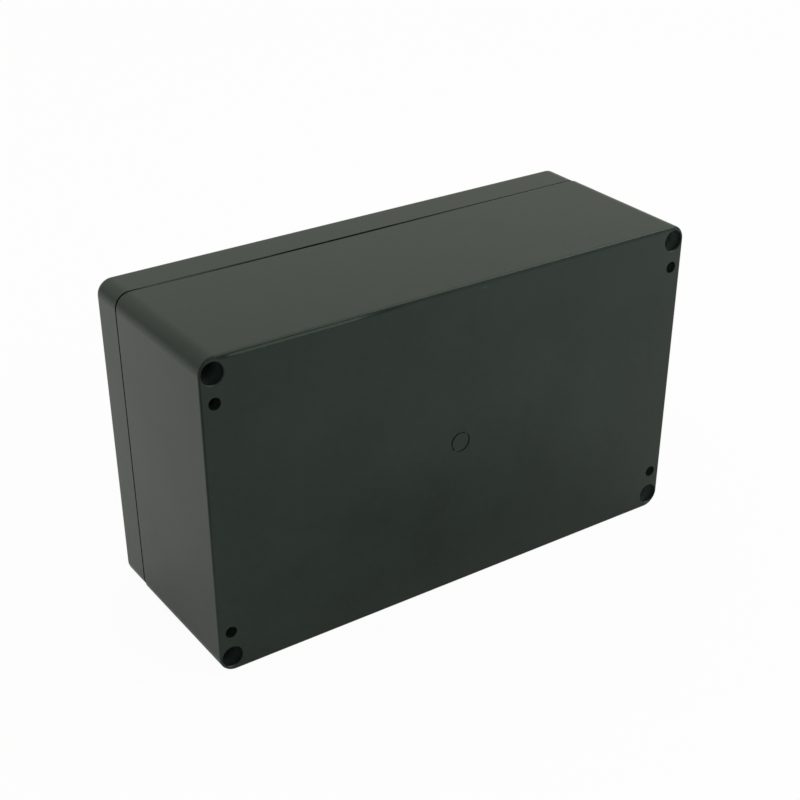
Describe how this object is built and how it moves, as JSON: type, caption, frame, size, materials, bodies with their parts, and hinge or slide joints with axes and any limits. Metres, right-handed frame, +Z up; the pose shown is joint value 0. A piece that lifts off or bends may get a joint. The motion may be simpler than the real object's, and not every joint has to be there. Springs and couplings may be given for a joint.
{
  "type": "plastic project box",
  "caption": "Sealed rectangular plastic enclosure: deep base with corner posts, shallow lid, gasket, lid screws in brass inserts.",
  "frame": {"origin": "middle of the long side face that the box stands on, at the centre of its outside size", "axes": "+X along the box, +Z up across its width, +Y from the back of the base to the front of the lid"},
  "size_m": [0.2, 0.075, 0.12],
  "materials": {
    "base_plastic": "satin moulded",
    "lid_plastic": "satin moulded",
    "gasket_rubber": "soft matte",
    "screw_steel": "bright plated",
    "insert_brass": "turned"
  },
  "bodies": {
    "base": {"base": "base_plastic", "thread_insert_1": "insert_brass", "thread_insert_2": "insert_brass", "thread_insert_3": "insert_brass", "thread_insert_4": "insert_brass"},
    "lid": {"lid": "lid_plastic", "gasket": "gasket_rubber"},
    "lid_screw_1": {"lid_screw_1": "screw_steel"},
    "lid_screw_2": {"lid_screw_2": "screw_steel"},
    "lid_screw_3": {"lid_screw_3": "screw_steel"},
    "lid_screw_4": {"lid_screw_4": "screw_steel"}
  },
  "joints": [
    {"name": "lid_lift", "type": "slide", "parent": "base", "child": "lid", "axis": [0, 1, 0], "range_m": [0, 0.06]},
    {"name": "lid_screw_1_draw", "type": "slide", "parent": "lid", "child": "lid_screw_1", "axis": [0, 1, 0], "range_m": [0, 0.025]},
    {"name": "lid_screw_2_draw", "type": "slide", "parent": "lid", "child": "lid_screw_2", "axis": [0, 1, 0], "range_m": [0, 0.025]},
    {"name": "lid_screw_3_draw", "type": "slide", "parent": "lid", "child": "lid_screw_3", "axis": [0, 1, 0], "range_m": [0, 0.025]},
    {"name": "lid_screw_4_draw", "type": "slide", "parent": "lid", "child": "lid_screw_4", "axis": [0, 1, 0], "range_m": [0, 0.025]}
  ]
}
